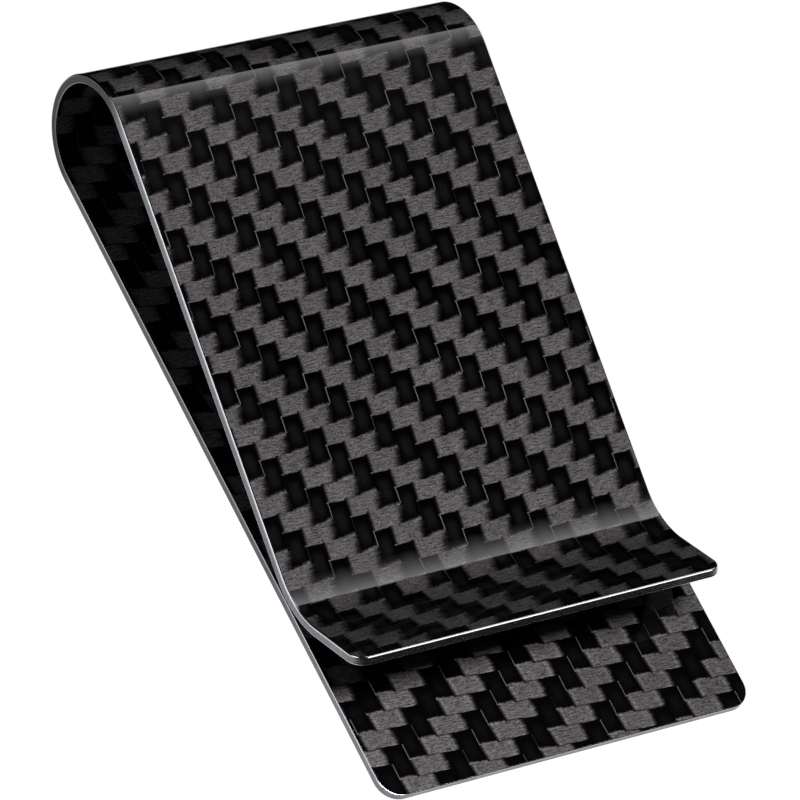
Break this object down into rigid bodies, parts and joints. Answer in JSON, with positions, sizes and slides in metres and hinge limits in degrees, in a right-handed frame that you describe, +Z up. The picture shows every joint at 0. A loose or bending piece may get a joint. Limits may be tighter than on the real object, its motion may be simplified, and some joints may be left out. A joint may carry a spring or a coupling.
{
  "type": "money clip",
  "caption": "Carbon-fibre money clip: a thin strip bent into a teardrop loop whose sloping front arm presses on a longer flat back plate and ends in a raised lip.",
  "frame": {"origin": "centre of the clip's bounding box in plan, on the back plate's outer face", "axes": "+X across the strip, +Y towards the closed loop, +Z up from the back plate towards the front arm"},
  "size_m": [0.038, 0.069, 0.0119],
  "materials": {
    "face_twill": "clear-coated carbon-fibre 2x2 twill, glossy",
    "core_fibre": "cut carbon-fibre laminate edge, satin"
  },
  "bodies": {
    "back_plate": {"back_plate_outer_twill": "face_twill", "back_plate_outer_core": "core_fibre", "back_plate_inner_core": "core_fibre", "back_plate_inner_twill": "face_twill", "loop_lower_outer_twill": "face_twill", "loop_lower_outer_core": "core_fibre", "loop_lower_inner_core": "core_fibre", "loop_lower_inner_twill": "face_twill"},
    "front_arm": {"loop_upper_outer_twill": "face_twill", "loop_upper_outer_core": "core_fibre", "loop_upper_inner_core": "core_fibre", "loop_upper_inner_twill": "face_twill", "arm_outer_twill": "face_twill", "arm_outer_core": "core_fibre", "arm_inner_core": "core_fibre", "arm_inner_twill": "face_twill", "pinch_outer_twill": "face_twill", "pinch_outer_core": "core_fibre", "pinch_inner_core": "core_fibre", "pinch_inner_twill": "face_twill", "lip_outer_twill": "face_twill", "lip_outer_core": "core_fibre", "lip_inner_core": "core_fibre", "lip_inner_twill": "face_twill"}
  },
  "joints": [
    {"name": "loop_flex", "type": "hinge", "parent": "back_plate", "child": "front_arm", "pos_m": [0, 0.03446, 0.00665], "axis": [-1, 0, 0], "range_deg": [0, 6.5], "stiffness_Nm_per_rad": 3}
  ]
}
